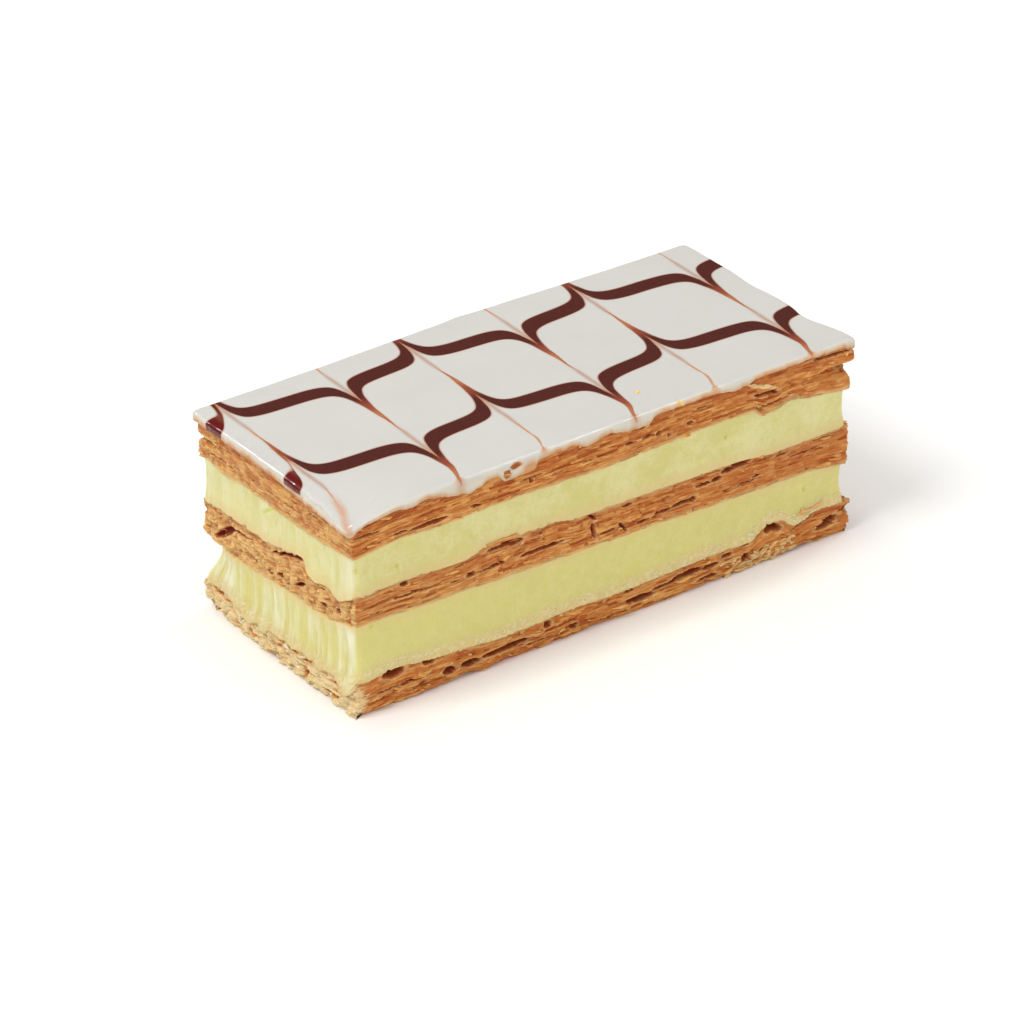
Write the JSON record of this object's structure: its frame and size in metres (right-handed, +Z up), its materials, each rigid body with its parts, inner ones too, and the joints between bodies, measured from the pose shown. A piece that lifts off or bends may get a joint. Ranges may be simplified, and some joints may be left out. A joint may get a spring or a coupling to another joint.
{
  "type": "mille feuille slice",
  "caption": "Rectangular slice of flaky puff pastry layered with custard cream and covered with feathered white icing; stands on its flat pastry base.",
  "frame": {"origin": "centre of the slice's footprint, at the height of the surface it stands on", "axes": "+X along the slice's long side, +Y across its width, +Z up through the layers"},
  "size_m": [0.112, 0.0516, 0.0406],
  "materials": {
    "puff_pastry": "dry baked puff pastry, golden brown with dark crevices between thin leaves",
    "custard_cream": "moist set custard, pale yellow, knife-cut",
    "fondant_icing": "glossy white fondant feathered with dark chocolate lines"
  },
  "bodies": {
    "root": {"crust_bottom": "puff_pastry", "cream_lower": "custard_cream", "crust_middle": "puff_pastry", "cream_upper": "custard_cream", "crust_top": "puff_pastry", "icing": "fondant_icing"}
  },
  "joints": []
}
